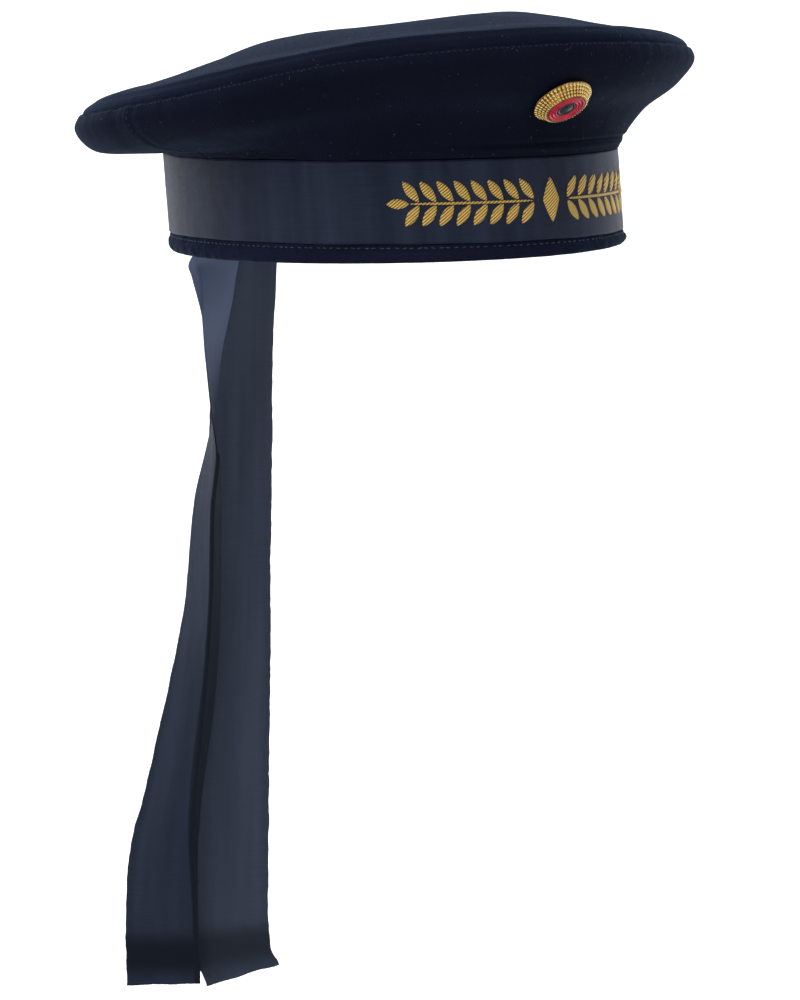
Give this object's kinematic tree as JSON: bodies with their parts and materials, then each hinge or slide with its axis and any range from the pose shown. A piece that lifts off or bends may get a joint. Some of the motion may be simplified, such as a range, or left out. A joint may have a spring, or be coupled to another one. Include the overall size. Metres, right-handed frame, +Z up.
{
  "type": "sailor cap with ribbon tails",
  "caption": "Peakless sailor cap: wide soft crown tilted up at the front, upright head band with a satin ribbon, two hanging ribbon tails and a small domed cockade.",
  "frame": {"origin": "middle of the opening in the plane of the hem's lower edge, where the cap sits on a head", "axes": "+Z up out of the crown, -Y the way the wearer faces, +X to the wearer's left"},
  "size_m": [0.2439, 0.263, 0.429],
  "materials": {
    "dark_wool": "matt wool serge",
    "hem_wool": "matt felted wool",
    "slate_satin": "satin ribbon",
    "gilt": "bright gilt",
    "red_enamel": "glossy enamel",
    "black_enamel": "glossy enamel"
  },
  "bodies": {
    "root": {"crown_top": "dark_wool", "crown_side": "dark_wool", "head_band": "dark_wool", "hem_roll": "hem_wool", "cap_ribbon": "slate_satin", "tail_left": "slate_satin", "tail_right": "slate_satin", "cockade_rim": "gilt", "cockade_ring": "red_enamel", "cockade_centre": "black_enamel", "cockade_pin": "gilt"}
  },
  "joints": []
}
